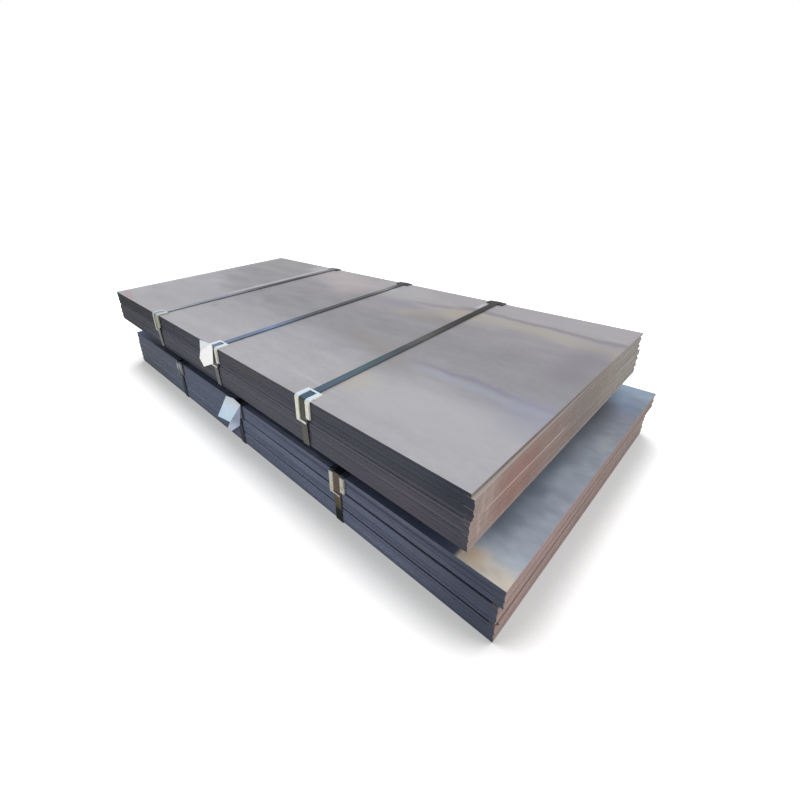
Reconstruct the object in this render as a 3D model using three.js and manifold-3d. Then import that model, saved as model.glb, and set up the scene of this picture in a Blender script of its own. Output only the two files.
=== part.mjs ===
// Two strapped packs of hot-rolled steel plate, one stacked on the other over timber bearers.
// Millimetres. X runs along the plates, Y across them to the back, Z up.
// The origin is the middle of the whole stack's footprint, on the floor.

import * as THREE from 'three';
import { ConvexGeometry } from 'three/addons/geometries/ConvexGeometry.js';
import { mergeVertices } from 'three/addons/utils/BufferGeometryUtils.js';
import Module from 'manifold-3d';

const wasm = await Module();
wasm.setup();

// ---- Driving dimensions ----------------------------------------------------

// Plates, as sheared from coil or mother plate.
const plateLength = 2500;
const plateWidth = 1250;
const plateThickness = 10;
const plateEdgeBreak = 0.8; // the sheared edge's roll-over, as a chamfer
const clearance = 0.3; // scale, grit and air between pieces that touch

// How unevenly the plates lie in a pack. A plate out of square is a parallelogram: its far edge
// lies this much further along than its near edge.
const plateDrift = 1.3;
const plateOutOfSquare = 1;
const driftStep = 2.4; // radians from one plate to the next
const acrossPhase = 1.3; // keeps the drift across the pack out of step with the drift along it
const squarePhase = 0.4;

// The upper pack. Plates are counted from the bottom, 0 first.
const upperPlateCount = 17;
const upperRecessedPlate = 9;
const upperRecess = 6;
const upperTopGroupSlip = 0.5; // the plates above the recessed one
const upperTopGroupOutOfSquare = -11;
const upperTopPlateSlip = -5;
const upperTopPlateOutOfSquare = 0;
const upperStrapShifts = [42, 50, 27]; // off the quarter points, on the near side
const upperStrapSkews = [0, -13, -26]; // how much further along a strap lies on the far side

// The lower pack.
const lowerPlateCount = 20;
const lowerTopGroupCount = 6; // the last plates laid stick out at one end
const lowerTopGroupSlip = 11;
const lowerSwungPlates = [6, 13]; // laid a little askew, so they are set back at one end
const lowerSwing = 11; // how far back at that end
const lowerStrapShifts = [56, 36, 53];
const lowerStrapSkews = [0, 0, 0];

// How the upper pack was set down on the lower one.
const upperPackShiftX = -79;
const upperPackShiftY = -32;
const upperPackTurn = THREE.MathUtils.degToRad(-0.08);

// Steel strapping and the crimped seal that closes it.
const strapWidth = 32;
const strapThickness = 1;
const strapBend = 1.5; // inside radius at a bare plate edge
const arcStepsPerQuarter = 6;
const sealLength = 50;
const sealOverhang = 2; // the seal wraps this far past each side of the strap
const sealWall = 1;
const sealDrop = 8; // from the end of the back guard down to the seal
const crimpDepth = 4;
const crimpHalfHeight = 2.5;
const crimpPitch = 24;
const strapTail = 26; // loose end past the seal

// Front edge guard: an L-shaped channel whose rails flank the strap and whose end bars hold it down.
const guardWidth = 70;
const guardTopReach = 52;
const guardFrontReach = 88;
const guardWall = 3;
const guardBend = 6;
const guardChannelPlay = 1.5; // each side of the strap
const guardBarThickness = 2.4;
const guardBarLength = 8;
const guardThroat = 4; // slot that lets the strap in beside the front bar
const guardThroatCutback = 25;
const cutBeyond = 5; // cutting solids stand out this far past what they cut

// Back edge guard: a plain folded angle.
const backGuardWidth = 84;
const backGuardTopReach = 40;
const backGuardSideReach = 40;
const backGuardWall = 4;
const backGuardBend = 5;

// Timber bearers between the packs.
const bearerWidth = 100;
const bearerHeight = 80;
const bearerEndSetback = 105; // from the long faces of the lower pack
const bearerStrapPlay = 22; // from the nearest strap to the bearer's side
const bearerEdgeBreak = 3;

// Paper tags, folded once and tucked in beside the middle strap. A panel is given by its corners:
// along the pack from the strap's middle, out from the front of the guards, and up from the
// pack's top. The two panels of a tag share the fold.
const tagThickness = 0.6;
const upperTagPanels = [
  [[-122, 1.2, -50], [-3, -0.3, 17], [-90, 6, 13]],
  [
    [-122, 1.2, -50],
    [-3, -0.3, 17],
    [14, 1.5, 10],
    [12, 10.1, -64],
    [-91, 10.2, -112],
    [-135, 4.9, -87],
  ],
];
const lowerTagPanels = [
  [[41, 0.1, 13], [-72, 9.7, -121], [-196, 9.6, -144], [-87, -1.3, 6], [-18, -1.4, 20]],
  [[41, 0.1, 13], [-72, 9.7, -121], [-104, 12.1, -167], [-88, 9.4, -182], [3, 0.3, -109]],
];

// ---- Finishes ---------------------------------------------------------------

const finishes = {
  plate: { color: 0x8d8d90, roughness: 0.5, metalness: 0.85 },
  strap: { color: 0x3c4654, roughness: 0.45, metalness: 0.7 },
  guard: { color: 0xd9d8c8, roughness: 0.6, metalness: 0 },
  backGuard: { color: 0x2b2d33, roughness: 0.6, metalness: 0.4 },
  timber: { color: 0x6f5b45, roughness: 0.85, metalness: 0 },
  paper: { color: 0xf1f1f0, roughness: 0.8, metalness: 0 },
};

function namedMesh(name, geometry, finish) {
  const mesh = new THREE.Mesh(geometry, new THREE.MeshStandardMaterial(finishes[finish]));
  mesh.name = name;
  return mesh;
}

// ---- Solids: joining, cutting and extruding ------------------------------------

function toSolid(geometry) {
  const bare = geometry.clone();
  bare.deleteAttribute('normal');
  bare.deleteAttribute('uv');
  const welded = mergeVertices(bare, 1e-4);
  return new wasm.Manifold(new wasm.Mesh({
    numProp: 3,
    vertProperties: new Float32Array(welded.attributes.position.array),
    triVerts: new Uint32Array(welded.index.array),
  }));
}

function toGeometry(solid) {
  const mesh = solid.getMesh();
  const geometry = new THREE.BufferGeometry();
  geometry.setAttribute('position', new THREE.BufferAttribute(mesh.vertProperties, 3));
  geometry.setIndex(new THREE.BufferAttribute(mesh.triVerts, 1));
  geometry.computeVertexNormals();
  return geometry;
}

// A box given by its low and high corners.
function blockBetween(low, high) {
  const size = new THREE.Vector3().subVectors(high, low);
  const middle = new THREE.Vector3().addVectors(low, high).multiplyScalar(0.5);
  return new THREE.BoxGeometry(size.x, size.y, size.z).translate(middle.x, middle.y, middle.z);
}

// A profile drawn in the Y-Z plane, extruded along X from one x to another.
function extrudeAlongX(shape, fromX, toX) {
  const geometry = new THREE.ExtrudeGeometry(shape, {
    depth: toX - fromX,
    bevelEnabled: false,
    curveSegments: arcStepsPerQuarter,
  });
  const acrossUpAlong = new THREE.Matrix4().makeBasis(
    new THREE.Vector3(0, 1, 0),
    new THREE.Vector3(0, 0, 1),
    new THREE.Vector3(1, 0, 0),
  );
  return geometry.applyMatrix4(acrossUpAlong).translate(fromX, 0, 0);
}

// A block with every edge broken by a small chamfer, centred in X and Y, standing on z = 0.
function chamferedBlock(length, width, height, chamfer, outOfSquare = 0) {
  const shape = new THREE.Shape();
  const halfLength = length / 2 - chamfer;
  const halfWidth = width / 2 - chamfer;
  const lean = outOfSquare / 2;
  shape.moveTo(-halfLength - lean, -halfWidth);
  shape.lineTo(halfLength - lean, -halfWidth);
  shape.lineTo(halfLength + lean, halfWidth);
  shape.lineTo(-halfLength + lean, halfWidth);
  shape.closePath();
  return new THREE.ExtrudeGeometry(shape, {
    depth: height - 2 * chamfer,
    bevelEnabled: true,
    bevelThickness: chamfer,
    bevelSize: chamfer,
    bevelSegments: 1,
  }).translate(0, 0, chamfer);
}

// ---- Plates -------------------------------------------------------------------

function uneven(amplitude, index, phase) {
  return amplitude * Math.sin(index * driftStep + phase);
}

// Where each plate of a pack lies: its middle in X and Y, its underside in Z, how far it is turned,
// and how far it is out of square. The functions give what is special to a plate. A swung plate is
// turned about the near corner of the end that stays flush.
function layPlates(count, slipAt, recessAt, swingAt, outOfSquareAt) {
  const firstUnderside = strapThickness + clearance;
  return Array.from({ length: count }, (_, index) => ({
    x: uneven(plateDrift, index, 0) + slipAt(index),
    y: uneven(plateDrift, index, acrossPhase) + recessAt(index) + swingAt(index) / 2,
    z: firstUnderside + index * (plateThickness + clearance),
    turn: Math.atan2(swingAt(index), plateLength),
    outOfSquare: uneven(plateOutOfSquare, index, squarePhase) + outOfSquareAt(index),
  }));
}

function makePlates(packName, plates) {
  return plates.map((plate, index) => {
    const number = String(index + 1).padStart(2, '0');
    const geometry = chamferedBlock(
      plateLength,
      plateWidth,
      plateThickness,
      plateEdgeBreak,
      plate.outOfSquare,
    );
    const mesh = namedMesh(`${packName}_plate_${number}`, geometry, 'plate');
    mesh.position.set(plate.x, plate.y, plate.z);
    mesh.rotation.z = plate.turn;
    return mesh;
  });
}

// How far a plate reaches across the pack from its middle.
function reachAcross(plate) {
  return (plateWidth * Math.cos(plate.turn) + plateLength * Math.sin(plate.turn)) / 2;
}

// The faces that straps and guards bear on: the outermost plate edges and the top.
function packFaces(plates) {
  return {
    front: Math.min(...plates.map((plate) => plate.y - reachAcross(plate))),
    back: Math.max(...plates.map((plate) => plate.y + reachAcross(plate))),
    bottom: plates[0].z,
    top: plates.at(-1).z + plateThickness,
  };
}

// ---- Edge guards ----------------------------------------------------------------

// An L-shaped band around a pack's edge, between two distances from the plates.
// It is drawn with the edge at the origin, the pack to the right and below, and air above.
function edgeBand(inner, outer, topReach, sideReach) {
  const shape = new THREE.Shape();
  shape.moveTo(-inner.distance, -sideReach);
  shape.lineTo(-outer.distance, -sideReach);
  shape.lineTo(-outer.distance, outer.distance - outer.bend);
  if (outer.bend > 0) {
    const centre = outer.bend - outer.distance;
    shape.absarc(centre, -centre, outer.bend, Math.PI, Math.PI / 2, true);
  }
  shape.lineTo(topReach, outer.distance);
  shape.lineTo(topReach, inner.distance);
  if (inner.bend > 0) {
    const centre = inner.bend - inner.distance;
    shape.absarc(centre, -centre, inner.bend, Math.PI / 2, Math.PI, false);
  } else {
    shape.lineTo(-inner.distance, inner.distance);
  }
  shape.closePath();
  return shape;
}

const tunnelHeight = strapThickness + 2 * clearance;
const guardDepth = guardWall + tunnelHeight + guardBarThickness;
const channelHalfWidth = strapWidth / 2 + guardChannelPlay;

// The moulded guard: a thick angle with a channel for the strap, open between its two end bars.
function frontGuardGeometry() {
  const face = { distance: clearance, bend: 0 };
  const floor = { distance: clearance + guardWall, bend: guardBend };
  const ceiling = { distance: floor.distance + tunnelHeight, bend: guardBend + tunnelHeight };
  const outside = {
    distance: clearance + guardDepth,
    bend: guardBend + tunnelHeight + guardBarThickness,
  };
  const open = { distance: outside.distance + cutBeyond, bend: 0 };

  const body = toSolid(extrudeAlongX(
    edgeBand(face, outside, guardTopReach, guardFrontReach),
    -guardWidth / 2,
    guardWidth / 2,
  ));
  const channel = toSolid(extrudeAlongX(
    edgeBand(floor, open, guardTopReach - guardBarLength, guardFrontReach - guardBarLength),
    -channelHalfWidth,
    channelHalfWidth,
  ));
  const tunnel = toSolid(extrudeAlongX(
    edgeBand(floor, ceiling, guardTopReach + cutBeyond, guardFrontReach + cutBeyond),
    -channelHalfWidth,
    channelHalfWidth,
  ));
  const throat = toSolid(blockBetween(
    new THREE.Vector3(channelHalfWidth - guardThroat, -open.distance, -guardFrontReach - cutBeyond),
    new THREE.Vector3(guardWidth / 2 + cutBeyond, 0, guardThroatCutback - guardFrontReach),
  ));
  return toGeometry(body.subtract(channel).subtract(tunnel).subtract(throat));
}

function backGuardGeometry() {
  const face = { distance: clearance, bend: 0 };
  const outside = { distance: clearance + backGuardWall, bend: backGuardBend };
  const angle = extrudeAlongX(
    edgeBand(face, outside, backGuardTopReach, backGuardSideReach),
    -backGuardWidth / 2,
    backGuardWidth / 2,
  );
  return angle.rotateZ(Math.PI);
}

function makeGuards(packName, faces, strapPlaces) {
  return strapPlaces.flatMap((place, index) => {
    const front = namedMesh(`${packName}_front_guard_${index + 1}`, frontGuardGeometry(), 'guard');
    front.position.set(place.front, faces.front, faces.top);
    const back = namedMesh(`${packName}_back_guard_${index + 1}`, backGuardGeometry(), 'backGuard');
    back.position.set(place.back, faces.back, faces.top);
    return [front, back];
  });
}

// ---- Straps ----------------------------------------------------------------------

// Corners of the strap's inner face round a pack, in order against the clock seen along -X.
function strapCorners(faces) {
  const frontBulge = clearance + guardWall + clearance;
  const backBulge = clearance + backGuardWall + clearance;
  const corner = (y, z, bend) => ({ at: new THREE.Vector2(y, z), bend });
  const front = faces.front - frontBulge;
  const back = faces.back + backBulge;
  const bottom = faces.bottom - clearance;
  return {
    frontFoot: corner(faces.front - clearance, bottom, strapBend),
    backFoot: corner(faces.back + clearance, bottom, strapBend),
    backKnee: corner(back, faces.top - backGuardSideReach, 0),
    backTop: corner(back, faces.top + backBulge, backGuardBend + clearance),
    frontTop: corner(front, faces.top + frontBulge, guardBend + clearance),
    frontKnee: corner(front, faces.top - guardFrontReach, 0),
  };
}

function crossingOf(first, second) {
  const gap = second.start.clone().sub(first.start);
  const share = gap.cross(second.along) / first.along.cross(second.along);
  return first.start.clone().addScaledVector(first.along, share);
}

// The taut loop through the corners, moved outwards by a distance, with its bends as arcs.
function tautLoop(corners, outwards) {
  const count = corners.length;
  const runs = corners.map((corner, index) => {
    const next = corners[(index + 1) % count];
    const along = next.at.clone().sub(corner.at).normalize();
    const outward = new THREE.Vector2(along.y, -along.x);
    return { start: corner.at.clone().addScaledVector(outward, outwards), along, outward };
  });
  return corners.flatMap((corner, index) => {
    const before = runs[(index + count - 1) % count];
    const after = runs[index];
    const radius = corner.bend + outwards;
    const turn = Math.acos(before.along.dot(after.along));
    const tip = crossingOf(before, after);
    const tangent = tip.clone().addScaledVector(before.along, -radius * Math.tan(turn / 2));
    const centre = tangent.clone().addScaledVector(before.outward, -radius);
    const steps = radius > 0 ? Math.ceil(turn / (Math.PI / 2) * arcStepsPerQuarter) : 0;
    return Array.from({ length: steps + 1 }, (_, step) => {
      const swing = steps > 0 ? turn * step / steps : 0;
      const spoke = before.outward.clone().rotateAround(new THREE.Vector2(), swing);
      return centre.clone().addScaledVector(spoke, radius);
    });
  });
}

// The crimped seal and the loose tail over it, lying on a run of strap along +Z at the origin,
// with the strap's outer face at y = 0 and air at +Y.
function sealSolid() {
  const halfWidth = strapWidth / 2 + sealOverhang;
  const outside = strapThickness + sealWall;
  const notchDepth = 2 * (outside + cutBeyond);
  const notchSides = 3;
  const sleeve = toSolid(blockBetween(
    new THREE.Vector3(-halfWidth, -outside, -sealLength / 2),
    new THREE.Vector3(halfWidth, outside, sealLength / 2),
  ));
  const tail = toSolid(blockBetween(
    new THREE.Vector3(-strapWidth / 2, 0, -sealLength / 2 - strapTail),
    new THREE.Vector3(strapWidth / 2, strapThickness, 0),
  ));
  let sealed = sleeve.add(tail);
  for (const side of [-1, 1]) {
    for (const level of [-crimpPitch / 2, crimpPitch / 2]) {
      const notch = new THREE.CylinderGeometry(crimpHalfHeight, crimpHalfHeight, notchDepth, notchSides);
      notch.rotateY(side > 0 ? -Math.PI / 2 : Math.PI / 2);
      notch.scale(crimpDepth / crimpHalfHeight, 1, 1);
      notch.translate(side * halfWidth, 0, level);
      sealed = sealed.subtract(toSolid(notch));
    }
  }
  return sealed;
}

// The loop is sheared along the pack, so that its far side lies further along by the skew.
function strapGeometry(faces, skew) {
  const named = strapCorners(faces);
  const corners = Object.values(named);
  const shape = new THREE.Shape(tautLoop(corners, strapThickness));
  shape.holes.push(new THREE.Path(tautLoop(corners, 0)));
  const loop = toSolid(extrudeAlongX(shape, -strapWidth / 2, strapWidth / 2));

  const run = named.backFoot.at.clone().sub(named.backKnee.at);
  const lean = Math.atan2(run.x, -run.y);
  const down = run.normalize();
  const outward = new THREE.Vector2(-down.y, down.x);
  const place = named.backKnee.at.clone()
    .addScaledVector(down, sealDrop + sealLength / 2)
    .addScaledVector(outward, strapThickness);
  const turned = new THREE.Matrix4().makeRotationX(lean).setPosition(0, place.x, place.y);
  const seal = sealSolid().transform(turned.toArray());
  const alongPerAcross = skew / (faces.back - faces.front);
  const shear = new THREE.Matrix4().makeShear(0, 0, alongPerAcross, 0, 0, 0);
  return toGeometry(loop.add(seal))
    .applyMatrix4(shear)
    .translate(-alongPerAcross * faces.front, 0, 0);
}

function makeStraps(packName, faces, strapPlaces) {
  return strapPlaces.map((place, index) => {
    const geometry = strapGeometry(faces, place.back - place.front);
    const strap = namedMesh(`${packName}_strap_${index + 1}`, geometry, 'strap');
    strap.position.x = place.front;
    return strap;
  });
}

// ---- Tags ------------------------------------------------------------------------

// A flat, thin, many-sided panel; its thickness points out of the pack, towards -Y.
function panelSolid(corners) {
  const points = corners.flatMap(([along, out, up]) => [
    new THREE.Vector3(along, -out, up),
    new THREE.Vector3(along, -out - tagThickness, up),
  ]);
  return toSolid(new ConvexGeometry(points));
}

function makeTag(packName, faces, strapPlace, panels) {
  const sheet = panels.map(panelSolid).reduce((joined, panel) => joined.add(panel));
  const tag = namedMesh(`${packName}_tag`, toGeometry(sheet), 'paper');
  const standOff = clearance + guardDepth + clearance;
  tag.position.set(strapPlace.front, faces.front - standOff, faces.top);
  return tag;
}

// ---- Packs and bearers --------------------------------------------------------------

// Straps lie near the quarter points of the plates.
function strapPlacesOf(shifts, skews) {
  return shifts.map((shift, index) => {
    const share = (index + 1) / (shifts.length + 1);
    const front = (share - 0.5) * plateLength + shift;
    return { front, back: front + skews[index] };
  });
}

function makePack(packName, plates, strapPlaces, tagPanels) {
  const faces = packFaces(plates);
  const middleStrap = strapPlaces[Math.floor(strapPlaces.length / 2)];
  const pack = new THREE.Group();
  pack.add(...makePlates(packName, plates));
  pack.add(...makeGuards(packName, faces, strapPlaces));
  pack.add(...makeStraps(packName, faces, strapPlaces));
  pack.add(makeTag(packName, faces, middleStrap, tagPanels));
  return pack;
}

// Each bearer stands just outside a pair of straps, so that it bears on bare plate.
function bearerPlaces(lowerStraps, upperStraps) {
  const offset = strapWidth / 2 + bearerStrapPlay + bearerWidth / 2;
  return lowerStraps.map((lower, index) => {
    const upper = upperStraps[index];
    const reach = [
      lower.front,
      lower.back,
      upper.front + upperPackShiftX,
      upper.back + upperPackShiftX,
    ];
    const isLast = index === lowerStraps.length - 1;
    return isLast ? Math.max(...reach) + offset : Math.min(...reach) - offset;
  });
}

function makeBearers(places, underside) {
  const length = plateWidth - 2 * bearerEndSetback;
  return places.map((x, index) => {
    const timber = chamferedBlock(bearerWidth, length, bearerHeight, bearerEdgeBreak);
    const bearer = namedMesh(`bearer_${index + 1}`, timber, 'timber');
    bearer.position.set(x, 0, underside);
    return bearer;
  });
}

const lowerPlates = layPlates(
  lowerPlateCount,
  (index) => (index >= lowerPlateCount - lowerTopGroupCount ? lowerTopGroupSlip : 0),
  () => 0,
  (index) => (lowerSwungPlates.includes(index) ? lowerSwing : 0),
  () => 0,
);

// The upper pack's plates are of three kinds at their ends: the top one, those above the recessed
// one, and the rest.
function upperKind(index, ofTopPlate, ofTopGroup) {
  if (index === upperPlateCount - 1) {
    return ofTopPlate;
  }
  return index > upperRecessedPlate ? ofTopGroup : 0;
}

const upperPlates = layPlates(
  upperPlateCount,
  (index) => upperKind(index, upperTopPlateSlip, upperTopGroupSlip),
  (index) => (index === upperRecessedPlate ? upperRecess : 0),
  () => 0,
  (index) => upperKind(index, upperTopPlateOutOfSquare, upperTopGroupOutOfSquare),
);
const lowerStraps = strapPlacesOf(lowerStrapShifts, lowerStrapSkews);
const upperStraps = strapPlacesOf(upperStrapShifts, upperStrapSkews);

const lowerPack = makePack('lower', lowerPlates, lowerStraps, lowerTagPanels);
const upperPack = makePack('upper', upperPlates, upperStraps, upperTagPanels);

const bearerUnderside = packFaces(lowerPlates).top + clearance;
const bearers = makeBearers(bearerPlaces(lowerStraps, upperStraps), bearerUnderside);

// The bearers carry the upper pack's plates, so its straps hang below their tops.
const upperPlateUnderside = bearerUnderside + bearerHeight + clearance;
const upperPackLift = upperPlateUnderside - packFaces(upperPlates).bottom;
upperPack.position.set(upperPackShiftX, upperPackShiftY, upperPackLift);
upperPack.rotation.z = upperPackTurn;

const stack = new THREE.Group();
stack.add(lowerPack, ...bearers, upperPack);
const footprint = new THREE.Box3().setFromObject(stack, true);
const middle = footprint.getCenter(new THREE.Vector3());
stack.position.set(-middle.x, -middle.y, -footprint.min.z);

const model = new THREE.Group();
model.add(stack);
export default model;
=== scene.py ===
# %% [markdown]
# # Two strapped packs of hot-rolled steel plate
#
# This script dresses a stack of steel plate for the camera. The plates, straps, edge guards, tags
# and bearers arrive as finished solids. What is left to do here is what a mill and a yard do to
# steel: scale, sheared edges, rust, dust, wax and weather. Some light and shade is painted into the
# colours as well.

# %% Load the solids
import math

import bmesh
import bpy
from mathutils import Matrix, Vector


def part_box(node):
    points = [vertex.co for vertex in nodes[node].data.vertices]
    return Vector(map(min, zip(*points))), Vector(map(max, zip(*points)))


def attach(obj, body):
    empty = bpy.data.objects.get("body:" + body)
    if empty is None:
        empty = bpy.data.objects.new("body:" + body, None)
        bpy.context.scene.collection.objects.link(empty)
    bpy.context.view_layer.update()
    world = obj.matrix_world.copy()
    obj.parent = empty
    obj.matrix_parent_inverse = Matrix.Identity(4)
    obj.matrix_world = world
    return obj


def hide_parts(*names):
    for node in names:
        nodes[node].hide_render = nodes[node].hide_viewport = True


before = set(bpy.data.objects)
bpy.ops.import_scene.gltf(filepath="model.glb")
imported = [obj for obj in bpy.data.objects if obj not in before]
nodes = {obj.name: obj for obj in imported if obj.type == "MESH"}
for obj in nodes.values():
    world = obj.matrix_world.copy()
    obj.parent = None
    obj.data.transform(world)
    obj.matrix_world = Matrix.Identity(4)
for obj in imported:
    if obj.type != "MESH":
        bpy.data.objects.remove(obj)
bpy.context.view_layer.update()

scene = bpy.context.scene
scene.view_settings.view_transform = "Standard"

# %% [markdown]
# ## Colours and sizes
#
# Colours are easiest to judge as the hex values that a colour picker shows, but shaders work in
# linear light, so one function converts them. Sizes are easiest to judge in millimetres, while
# Blender works in metres, so another turns the size of a pattern into the Scale that a texture node
# wants. Two more put a new object in the scene, which takes a link as well as an object.

# %% Colour, size and object helpers
MM = 0.001


def linear(hex_colour):
    """An sRGB hex colour as linear red, green, blue and alpha."""
    channels = [int(hex_colour[i:i + 2], 16) / 255 for i in (1, 3, 5)]
    curve = [c / 12.92 if c <= 0.04045 else ((c + 0.055) / 1.055) ** 2.4 for c in channels]
    return (*curve, 1.0)


def per_metre(millimetres):
    """The Scale of a texture whose features are this many millimetres apart."""
    return 1 / (millimetres * MM)


def shown(name, data):
    """A new object in the scene that holds a mesh, a lamp or a camera."""
    holder = bpy.data.objects.new(name, data)
    scene.collection.objects.link(holder)
    return holder


def built(name, bm):
    """A new object in the scene from a bmesh, which is freed."""
    mesh = bpy.data.meshes.new(name)
    bm.to_mesh(mesh)
    bm.free()
    return shown(name, mesh)


print("one pattern every 25 mm needs a texture scale of", per_metre(25))

# %% [markdown]
# ## Shader nodes
#
# A finish is a graph of nodes, and built by hand each node takes several lines: add it, change its
# settings, fill its inputs. One helper does all three. A few more name the nodes that come up most,
# so that a material further down reads as a recipe and not as wiring.

# %% Shader-node helpers
def add(tree, kind, inputs=None, **settings):
    """Add a shader node, change its settings, and fill its inputs with values or links."""
    made = tree.nodes.new(kind)
    for name, value in settings.items():
        setattr(made, name, value)
    for name, value in (inputs or {}).items():
        socket = made.inputs[name]
        if isinstance(value, bpy.types.NodeSocket):
            tree.links.new(value, socket)
        elif isinstance(value, tuple):
            socket.default_value = value[:len(socket.default_value)]
        else:
            socket.default_value = value
    return made


def maths(tree, operation, *values):
    """One step of arithmetic on numbers or links."""
    return add(tree, "ShaderNodeMath", dict(enumerate(values)), operation=operation).outputs[0]


def mapped(tree, value, low, high, first, last):
    """A number that runs from first to last while a value runs from low to high."""
    span = {"Value": value, "From Min": low, "From Max": high, "To Min": first, "To Max": last}
    return add(tree, "ShaderNodeMapRange", span).outputs[0]


def blend(tree, share, first, second):
    """One number where the share is 0, and another where it is 1."""
    return add(tree, "ShaderNodeMix", {0: share, 2: first, 3: second}).outputs[0]


def mix(tree, share, under, over):
    """One colour where the share is 0, and another where it is 1."""
    return add(tree, "ShaderNodeMix", {0: share, 6: under, 7: over}, data_type="RGBA").outputs[2]


def axes_of(tree, vector, signed=True):
    """The X, Y and Z of a vector, with or without their signs."""
    if not signed:
        vector = add(tree, "ShaderNodeVectorMath", {0: vector}, operation="ABSOLUTE").outputs[0]
    return add(tree, "ShaderNodeSeparateXYZ", {0: vector}).outputs


def new_material(name, roughness, metallic, specular):
    """A material with its node tree and its Principled shader, and the plain numbers set."""
    material = bpy.data.materials.new(name)
    material.use_nodes = True
    tree = material.node_tree
    shader = tree.nodes["Principled BSDF"]
    shader.inputs["Roughness"].default_value = roughness
    shader.inputs["Metallic"].default_value = metallic
    shader.inputs["Specular IOR Level"].default_value = specular
    return material, tree, shader


def coat(tree, shader, colour, height, depth, strength):
    """Give a surface its colour, and a relief that looks this many millimetres deep."""
    tree.links.new(colour, shader.inputs["Base Color"])
    raised = {"Height": height, "Distance": depth * MM, "Strength": strength}
    tree.links.new(add(tree, "ShaderNodeBump", raised).outputs[0], shader.inputs["Normal"])


print("every node is made by the helper", add.__name__)

# %% [markdown]
# ## The camera
#
# The stack is seen from just past its right end, at about the eye height of someone crouching,
# through a wide lens. The wide lens matters: it is what makes the near corner so large and the far
# end so small. Azimuth, elevation and roll turn a level camera into place, in that order, which is
# easier to read and to adjust than a matrix.

# %% Camera
CAMERA_PLACE = Vector((1.53326, -1.29012, 1.11924))
CAMERA_AZIMUTH = 48.316
CAMERA_ELEVATION = 25.060
CAMERA_ROLL = -2.735
SENSOR_WIDTH = 36
FOCAL_LENGTH = 18.5934
LENS_SHIFT = (0.07132, -0.05214)
NEAREST_SEEN, FARTHEST_SEEN = 0.05, 200

camera_data = bpy.data.cameras.new("yard_camera")
camera = shown("yard_camera", camera_data)
scene.camera = camera
camera_data.sensor_width = SENSOR_WIDTH
camera_data.lens = FOCAL_LENGTH
camera_data.shift_x, camera_data.shift_y = LENS_SHIFT
camera_data.clip_start, camera_data.clip_end = NEAREST_SEEN, FARTHEST_SEEN
camera.location = CAMERA_PLACE
azimuth = Matrix.Rotation(math.radians(CAMERA_AZIMUTH), 4, "Z")
tilt = Matrix.Rotation(math.radians(90 - CAMERA_ELEVATION), 4, "X")
roll = Matrix.Rotation(math.radians(CAMERA_ROLL), 4, "Z")
camera.rotation_euler = (azimuth @ tilt @ roll).to_euler()
print("camera at", tuple(round(c, 3) for c in camera.location), "metres")

# %% [markdown]
# ## The floor
#
# Steel shows its finish by what it mirrors, so the studio is one large pale room. Its floor is a
# plain white sheet, large enough to run into the backdrop without a horizon.
#
# White paint under plain light is not quite white in a render. More light would bleach the steel,
# so the floor glows a little on top of the light that it receives, and only for rays that look
# straight at it or mirror it. Close to the stack, which an ambient occlusion node tells, the glow
# is weaker and the paint is greyer. So the floor keeps a close, soft shadow on every side, also on
# the one that faces the sun. None of this changes the light on the steel.

# %% Floor
FLOOR_SIZE = 60.0  # metres
FLOOR_DROP = 0.2  # millimetres, so that the floor stays clear of what stands on it
FLOOR_PAINT = "#FDFDFD"
FLOOR_PAINT_AT_CONTACT = "#959595"
FLOOR_GLOW_AT_CONTACT = 0.35
FLOOR_GLOW_IN_THE_OPEN = 0.56
CONTACT_REACH = 195  # millimetres
CONTACT_SAMPLES = 16
CLOSED, OPEN = 0.6, 0.975  # how much of the sky is free, at contact and in the open
PLAIN_WHITE = (1, 1, 1, 1)


def rays_that_look(tree):
    """1 for rays from the camera, a mirroring surface or through a clear one, 0 for the rest."""
    path = add(tree, "ShaderNodeLightPath").outputs
    looked_at = maths(tree, "MAXIMUM", path["Is Camera Ray"], path["Is Glossy Ray"])
    return maths(tree, "MAXIMUM", looked_at, path["Is Transmission Ray"])


bm = bmesh.new()
bmesh.ops.create_grid(bm, x_segments=1, y_segments=1, size=FLOOR_SIZE / 2)
bmesh.ops.translate(bm, verts=bm.verts, vec=(0, 0, -FLOOR_DROP * MM))
floor = built("studio_floor", bm)

floor_paint, tree, shader = new_material(
    "matt_white_floor_paint", roughness=0.9, metallic=0.0, specular=0.0)
around = {"Distance": CONTACT_REACH * MM}
sky = add(tree, "ShaderNodeAmbientOcclusion", around, samples=CONTACT_SAMPLES).outputs["AO"]
glow = mapped(tree, sky, CLOSED, OPEN, FLOOR_GLOW_AT_CONTACT, FLOOR_GLOW_IN_THE_OPEN)
close = mapped(tree, sky, CLOSED, OPEN, 1.0, 0.0)
seen = rays_that_look(tree)
seen_close = maths(tree, "MULTIPLY", seen, close)
shade = mix(tree, seen_close, linear(FLOOR_PAINT), linear(FLOOR_PAINT_AT_CONTACT))
tree.links.new(shade, shader.inputs["Base Color"])
shader.inputs["Emission Color"].default_value = PLAIN_WHITE
tree.links.new(maths(tree, "MULTIPLY", seen, glow), shader.inputs["Emission Strength"])
floor.data.materials.append(floor_paint)
print("a floor", FLOOR_SIZE, "metres wide, with a soft shadow", CONTACT_REACH, "mm wide")

# %% [markdown]
# ## The light
#
# A white world gives even light, and one broad sun lamp gives it a direction. A sun lamp is chosen
# over area lamps because it lights the floor evenly however far it runs, and its wide angle makes
# it as soft as an overcast sky. It stands behind and to the right, so tops and sheared ends catch
# it while the long near side stays in shade.
#
# Both light the object at a plain level, where a colour shows about as it is written. The world is
# full white only for rays that look at it, for the same reason that the floor glows.

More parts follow.
